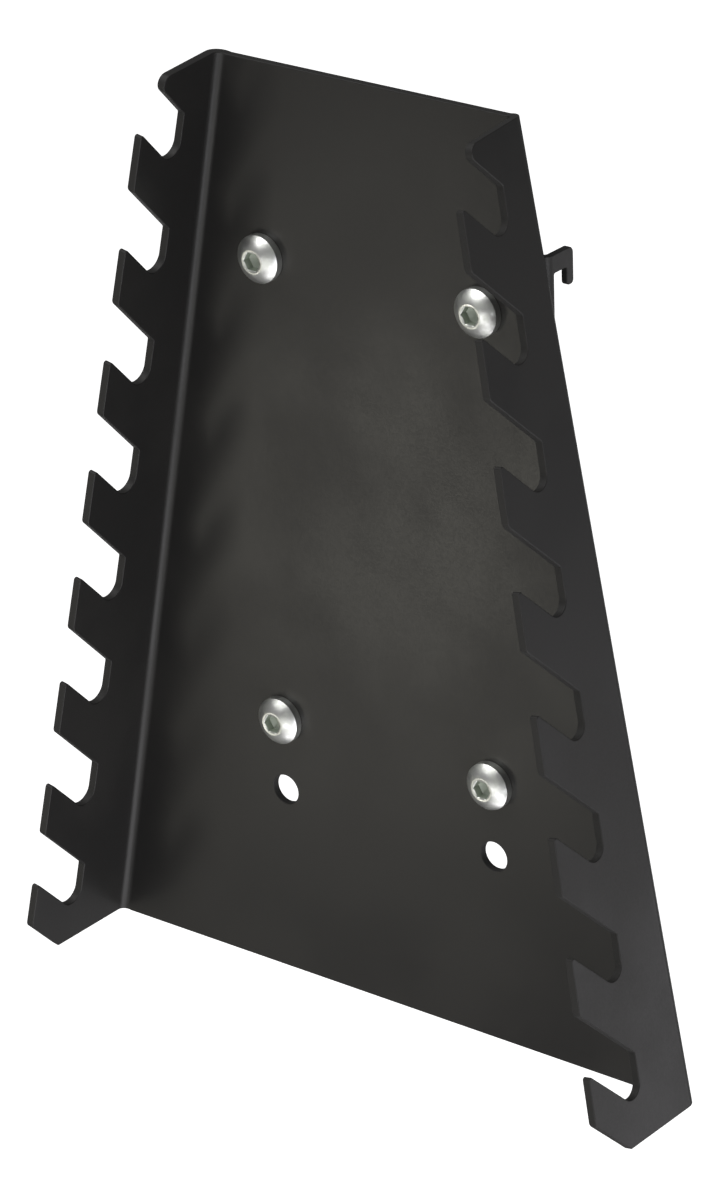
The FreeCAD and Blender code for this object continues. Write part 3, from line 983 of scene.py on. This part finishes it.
@dataclass
class HookBracket:
    """A flat web with two upright slots, and at each end an ear that runs out into a hook.

    Heights are measured up from the hooks' inner corner, and depths to the wall from there.
    """

    row: Row
    seat_z: float
    finish: bpy.types.Material
    thickness: float = 2 * MM
    fold_radius: float = 1 * MM
    hook_spacing: float = 114 * MM
    web_back: float = WEB_BACK
    web_bottom: float = -21 * MM
    arm_height: float = 5.4 * MM
    throat: float = 5.7 * MM
    tip_depth: float = 3 * MM
    tip_drop: float = 5.3 * MM
    crown_radius: float = 2 * MM
    tip_radius: float = 1.2 * MM
    throat_radius: float = 0.5 * MM
    corner_radius: float = 0.5 * MM
    fold_land: float = 1.4 * MM
    slot_spacing: float = SCREW_SPACING
    slot_radius: float = BORE_RADIUS
    slot_centres: Pair = (-2.1 * MM, -13.5 * MM)
    slot_samples: int = 72

    @property
    def fold(self) -> Fold:
        """The right-hand fold.

        Returns:
            The fold between the web and its ear.
        """
        return Fold(
            corner=((self.hook_spacing - self.thickness) / 2, self.web_back, self.seat_z),
            along=(0.0, 0.0, 1.0),
            outward=(1.0, 0.0, 0.0),
            toward=(0.0, 1.0, 0.0),
            radius=self.fold_radius,
            thickness=self.thickness,
        )

    def on_ear(self, y: float, z: float) -> Pair:
        """Gives the blank's coordinates of a point on the ear, from its Y and its height."""
        return self.fold.across_of(y - self.web_back), z

    def build(self) -> None:
        """Builds and dresses the bracket."""
        low, high, tip_low = self.web_bottom, self.arm_height, -self.tip_drop
        laid = [
            ((-self.fold_land, low), self.corner_radius),
            (self.on_ear(-self.throat, low), self.corner_radius),
            (self.on_ear(-self.throat, 0), self.throat_radius),
            (self.on_ear(0, 0), self.throat_radius),
            (self.on_ear(0, tip_low), self.tip_radius),
            (self.on_ear(self.tip_depth, tip_low), self.tip_radius),
            (self.on_ear(self.tip_depth, high), self.crown_radius),
            ((-self.fold_land, high), self.corner_radius),
        ]
        middle = -self.fold.corner[0]
        centre = np.array([middle + self.slot_spacing / 2, sum(self.slot_centres) / 2])
        length = self.slot_centres[0] - self.slot_centres[1]
        slot = obround(centre, self.slot_radius, length, self.slot_samples)
        half = FoldedSheet(self.fold, ((middle, low), (middle, high)), laid, [slot])
        piece = half.surface().mirrored().to_object(f"coated_{self.row.value}_bracket")
        finish_piece(piece, self.finish, Slot.BRACKET_COAT, f"{self.row.value}_hook_bracket")


@dataclass
class ScrewSet:
    """One button-head screw with its washer and nut, through the sheet and a bracket.

    Each piece's heights are measured along the axis, away from the face that it sits on.
    """

    row: Row
    side: Side
    height: float
    finish: bpy.types.Material
    spacing: float = SCREW_SPACING
    plate_y: float = PLATE_Y
    web_back: float = WEB_BACK
    steps: int = 96
    head_radius: float = 7 * MM
    head_height: float = 5 * MM
    head_rim: float = 2.4 * MM
    head_rim_middle: float = 1.92 * MM
    head_flat: float = 3.5 * MM
    head_flat_margin: float = 0.1 * MM
    head_samples: int = 18
    under_chamfer: float = 0.15 * MM
    socket_width: float = 5 * MM
    socket_depth: float = 2.6 * MM
    socket_lead: float = 0.2 * MM
    socket_cone: float = 0.6 * MM
    socket_edge: float = 0.05 * MM
    socket_floor_share: float = 0.97
    socket_top_share: float = 1.005
    socket_rings: int = 4
    mouth_edge: float = 0.02 * MM
    length: float = 10.3 * MM
    thread_radius: float = 4 * MM
    thread_depth: float = 0.6 * MM
    thread_pitch: float = 1.25 * MM
    thread_samples: int = 12
    point_chamfer: float = 1 * MM
    sharp_above: float = 38.0
    washer_radius: float = 8 * MM
    washer_bore: float = 4.2 * MM
    washer_height: float = 1.6 * MM
    washer_edge: CutEdge = CutEdge(0.25 * MM)
    nut_width: float = 13 * MM
    nut_height: float = 4 * MM
    nut_bore: float = 4.1 * MM
    nut_lead: float = 0.4 * MM
    nut_chamfer: float = math.radians(30)
    nut_face_margin: float = 0.05 * MM
    nut_face_drop: float = 0.02 * MM
    nut_sharp_above: float = 25.0
    nut_bevel: float = 0.12 * MM
    nut_bevel_segments: int = 2
    nut_bevel_above: float = math.radians(40)

    @property
    def name(self) -> str:
        """The set's place, such as upper_left."""
        return f"{self.row.value}_{self.side.name.lower()}"

    def seat(self, y: float) -> Triple:
        """Gives the point on the screw's axis at a Y."""
        return (self.side.value * self.spacing / 2, y, self.height)

    def head_rings(self) -> list[Ring]:
        """Lays out the head's rings, from the socket's floor over the dome to the rim.

        The dome is part of a sphere centred on the axis, which passes through the rim's upper
        edge and the edge of the flat top: its centre lies where both are equally far away. The
        socket is a hexagon with a short lead that opens to a circle.

        Returns:
            Radius and height of each ring, in order from the middle of the socket.
        """
        flat = hexagon(self.socket_width, self.steps)
        floor = self.head_height - self.socket_depth
        mouth = np.maximum(flat + self.socket_lead, self.socket_width / 2 / math.cos(math.pi / 6))
        lead = self.head_height - self.socket_lead
        rings: list[Ring] = [
            (flat / 2, floor - self.socket_cone / 2),
            (flat * self.socket_floor_share, floor),
            (flat, floor + self.socket_edge),
            (flat, lead - self.socket_edge),
            (flat * self.socket_top_share, lead),
            (mouth, self.head_height - self.mouth_edge),
            (mouth + 2 * self.mouth_edge, self.head_height),
            (self.head_flat - self.head_flat_margin, self.head_height),
        ]
        rim, top = (self.head_radius, self.head_rim), (self.head_flat, self.head_height)
        centre = (rim[0] ** 2 - top[0] ** 2 + rim[1] ** 2 - top[1] ** 2) / 2 / (rim[1] - top[1])
        radius = math.hypot(rim[0], rim[1] - centre)
        start, end = (math.atan2(place[0], place[1] - centre) for place in (top, rim))
        for angle in np.linspace(start, end, self.head_samples):
            rings.append((radius * math.sin(angle), centre + radius * math.cos(angle)))
        rings += [
            (self.head_radius, self.head_rim_middle),
            (self.head_radius, self.under_chamfer),
            (self.head_radius - self.under_chamfer, 0.0),
        ]
        return rings

    def thread_rings(self) -> tuple[np.ndarray, np.ndarray]:
        """Works out the thread as a function of height and angle.

        The flank goes in and out by the thread's depth as a triangle wave of the height over the
        pitch less the angle over a full turn, and the point's cone cuts it down at the end.

        Returns:
            Radii and heights, by ring and angle, from the head down.
        """
        count = int(self.length / self.thread_pitch * self.thread_samples)
        down = np.linspace(0, self.length, count)[:, None]
        angle = np.arange(self.steps) / self.steps
        phase = (down / self.thread_pitch - angle) % 1
        ridge = self.thread_radius - self.thread_depth * np.abs(2 * phase - 1)
        cone = self.thread_radius - self.point_chamfer + (self.length - down)
        return np.minimum(ridge, cone), np.broadcast_to(-down, ridge.shape)

    def build_screw(self) -> None:
        """Builds and dresses the screw."""
        full = np.ones(self.steps)
        head = self.head_rings()
        thread_radii, thread_heights = self.thread_rings()
        radii = np.vstack([*(full * radius for radius, _ in head), thread_radii])
        heights = np.vstack([*(full * height for _, height in head), thread_heights])
        surface = ring_surface(radii, heights, self.seat(self.plate_y), toward=-1.0, poles=True)
        # The first pole is the drill's point in the socket's floor.
        surface.points[-2, 1] += self.socket_cone / 2
        # The mark covers the socket's walls, floor and drill point, where the zinc is painted darker as
        # painted shade.
        surface.mark = np.zeros(len(surface.points))
        surface.mark[: self.socket_rings * self.steps] = 1.0
        surface.mark[-2] = 1.0
        piece = surface.to_object(f"zinc_{self.name}_screw", self.sharp_above)
        finish_piece(piece, self.finish, Slot.ZINC, f"{self.name}_screw")

    def build_washer(self) -> None:
        """Builds and dresses the washer: a flat ring whose outer and inner edges are softly stamped."""
        inset, under, _, _ = self.washer_edge.profile(self.washer_height)
        full = np.ones(self.steps)
        radii = np.outer(np.concatenate([self.washer_radius - inset, self.washer_bore + inset]), full)
        heights = np.outer(np.concatenate([under, self.washer_height - under]), full)
        surface = ring_surface(radii, heights, self.seat(self.web_back), toward=1.0, poles=False)
        piece = surface.to_object(f"zinc_{self.name}_washer", self.sharp_above)
        finish_piece(piece, self.finish, Slot.ZINC, f"{self.name}_washer")

    def build_nut(self) -> None:
        """Builds and dresses the nut.

        Its side is a hexagon. A cone at the chamfer's angle cuts both faces down beyond the
        circle that touches the flats, by the distance outside that circle times the tangent.
        """
        full = np.ones(self.steps)
        side = hexagon(self.nut_width, self.steps)
        cut = (side - self.nut_width / 2) * math.tan(self.nut_chamfer)
        half = [
            (full * self.nut_bore, full * self.nut_lead),
            (full * (self.nut_bore + self.nut_lead), full * 0),
            (full * (self.nut_width / 2 - self.nut_face_margin), full * 0),
            (side, cut + self.nut_face_drop),
        ]
        radii = np.array([radius for radius, _ in half])
        heights = np.array([height for _, height in half])
        surface = ring_surface(
            np.vstack([radii, radii[::-1]]),
            np.vstack([heights, self.nut_height - heights[::-1]]),
            self.seat(self.web_back + self.washer_height),
            toward=1.0,
            poles=False,
        )
        piece = surface.to_object(f"zinc_{self.name}_nut", self.nut_sharp_above)
        bevel = piece.modifiers.new("soft_corners", "BEVEL")
        bevel.width = self.nut_bevel
        bevel.segments = self.nut_bevel_segments
        bevel.limit_method = "ANGLE"
        bevel.angle_limit = self.nut_bevel_above
        finish_piece(piece, self.finish, Slot.ZINC, f"{self.name}_nut")

    def build(self) -> None:
        """Builds the screw, its washer and its nut."""
        self.build_screw()
        self.build_washer()
        self.build_nut()


# Studio.


@dataclass(frozen=True)
class Softbox:
    """A soft square lamp that faces the rack.

    Attributes:
        name: Name of the lamp.
        direction: Where it stands, as seen from the rack.
        distance: How far away it stands.
        size: Length of its side.
        power: Its power in watts.
        colour: Colour of its light.
    """

    name: str
    direction: Triple
    distance: float
    size: float
    power: float
    colour: Triple

    def build(self, centre: Triple) -> None:
        """Sets the lamp up.

        Args:
            centre: The rack's middle, which the lamp faces.
        """
        lamp = bpy.data.lights.new(self.name, "AREA")
        lamp.size = self.size
        lamp.energy = self.power
        lamp.color = self.colour
        stand = bpy.data.objects.new(self.name, lamp)
        away = Vector(self.direction).normalized()
        stand.location = Vector(centre) + away * self.distance
        stand.rotation_euler = away.to_track_quat("Z", "Y").to_euler()
        stand.visible_camera = False
        bpy.context.scene.collection.objects.link(stand)


@dataclass(frozen=True)
class Camera:
    """The camera, by where it stands round the rack, in the 720 by 1200 frame.

    Attributes:
        azimuth: Angle to the right of the rack's front.
        elevation: Angle above the horizon.
        roll: Turn about the line of sight.
        distance: Distance from the aim.
        focus: Distance of the picture plane, in pixels of the frame's height.
        frame_height: Height of the frame in pixels.
        aim: Point that the middle of the frame looks at.
        sensor: Height of the sensor in millimetres.
        reach: Distance beyond which nothing is drawn.
    """

    azimuth: float = math.radians(38.80)
    elevation: float = math.radians(24.45)
    roll: float = math.radians(-2.06)
    distance: float = 1.4314
    focus: float = 5098.4
    frame_height: float = 1200.0
    aim: Triple = (-7.42 * MM, -11.6 * MM, -109.55 * MM)
    sensor: float = 36.0
    reach: float = 100.0

    def build(self) -> None:
        """Makes the camera and looks through it."""
        camera = bpy.data.cameras.new("camera")
        camera.sensor_width = self.sensor
        camera.lens = self.focus / self.frame_height * self.sensor
        camera.clip_end = self.reach
        stand = bpy.data.objects.new("camera", camera)
        level, rise = math.cos(self.elevation), math.sin(self.elevation)
        sine, cosine = math.sin(self.azimuth), math.cos(self.azimuth)
        back = Vector((sine * level, -cosine * level, rise))
        right = Matrix.Rotation(self.roll, 3, back) @ Vector((cosine, sine, 0.0))
        up = back.cross(right)
        pose = Matrix((right, up, back)).transposed().to_4x4()
        pose.translation = Vector(self.aim) + back * self.distance
        stand.matrix_world = pose
        bpy.context.scene.collection.objects.link(stand)
        bpy.context.scene.camera = stand


@dataclass
class Studio:
    """A round pale floor in a dim surround, soft lamps and the camera."""

    centre: Triple = (0.0, -0.03, -0.1)
    floor_centre: Triple = (-1.45, 1.75, -1.0)
    floor_radius: float = 1.35
    floor_corners: int = 128
    floor_colour: Colour = (0.82, 0.82, 0.82, 1.0)
    floor_roughness: float = 0.9
    floor_lift: float = 0.96
    surround_level: float = 0.17
    lamps: tuple[Softbox, ...] = (
        Softbox("overhead", (-0.25, -0.35, 0.90), 2.0, 1.6, 26.0, (1.0, 0.99, 0.98)),
        Softbox("low_left", (-0.53, -0.77, -0.36), 0.6, 0.22, 0.41, (1.0, 0.97, 0.85)),
        Softbox("low_right", (0.28, -0.90, -0.30), 1.5, 1.0, 5.2, (1.0, 0.99, 0.97)),
        Softbox("side", (0.87, -0.30, -0.30), 1.6, 1.2, 8.8, (0.96, 0.97, 1.0)),
        Softbox("behind", (0.62, 0.66, -0.46), 1.4, 0.7, 1.9, (0.99, 0.97, 1.0)),
        Softbox("below", (0.45, -0.25, -0.85), 0.9, 0.8, 3.4, (1.0, 0.98, 1.0)),
    )

    @staticmethod
    def seen(graph: Graph) -> Socket:
        """Adds up the rays that see the background: from the camera, glossy and through glass.

        Args:
            graph: Nodes of the background's material.

        Returns:
            1 for those rays and 0 for the rest.
        """
        path = graph.add("ShaderNodeLightPath")
        names = ("Is Camera Ray", "Is Glossy Ray", "Is Transmission Ray")
        return graph.sum(*(path.outputs[name] for name in names))

    def build_surround(self) -> None:
        """Makes a plain dim world."""
        world = bpy.data.worlds.new("surround")
        world.use_nodes = True
        background = world.node_tree.nodes["Background"]
        background.inputs["Color"].default_value = WHITE
        background.inputs["Strength"].default_value = self.surround_level
        bpy.context.scene.world = world

    def build_floor(self) -> None:
        """Lays a plain pale floor well below the hanging rack: a disc of evenly spaced corners."""
        angle = np.arange(self.floor_corners) * 2 * math.pi / self.floor_corners
        spokes = np.stack([np.cos(angle), np.sin(angle), np.zeros_like(angle)], axis=-1)
        corners = np.array(self.floor_centre) + self.floor_radius * spokes
        mesh = bpy.data.meshes.new("floor")
        mesh.from_pydata(corners.tolist(), [], [list(range(self.floor_corners))])
        floor = bpy.data.objects.new("floor", mesh)
        bpy.context.scene.collection.objects.link(floor)
        graph = Graph("pale_floor")
        graph.set_shader({
            "Base Color": self.floor_colour,
            "Roughness": self.floor_roughness,
            "Emission Color": WHITE,
            "Emission Strength": graph.times(self.seen(graph), self.floor_lift),
        })
        mesh.materials.append(graph.material)

    def build(self) -> None:
        """Sets the whole studio up."""
        self.build_surround()
        self.build_floor()
        for lamp in self.lamps:
            lamp.build(self.centre)
        Camera().build()
        bpy.context.scene.view_settings.view_transform = "Standard"


def main() -> None:
    """Builds the rack's pieces and the studio, in order."""
    logging.basicConfig(level=logging.INFO, format="%(name)s %(message)s")
    rack_coat = PowderCoat("rack_powder_coat").build()
    bracket_coat = PowderCoat("bracket_powder_coat").build()
    zinc = ZincPlate("zinc_plate").build()
    RackSheet(finish=rack_coat).build()
    screw_heights = {Row.UPPER: -13 * MM, Row.LOWER: -154.6 * MM}
    seat_heights = {Row.UPPER: 0.0, Row.LOWER: -152 * MM}
    for row in Row:
        HookBracket(row=row, seat_z=seat_heights[row], finish=bracket_coat).build()
        for side in Side:
            ScrewSet(row=row, side=side, height=screw_heights[row], finish=zinc).build()
    Studio().build()
    bpy.context.view_layer.update()


if __name__ == "__main__":
    main()
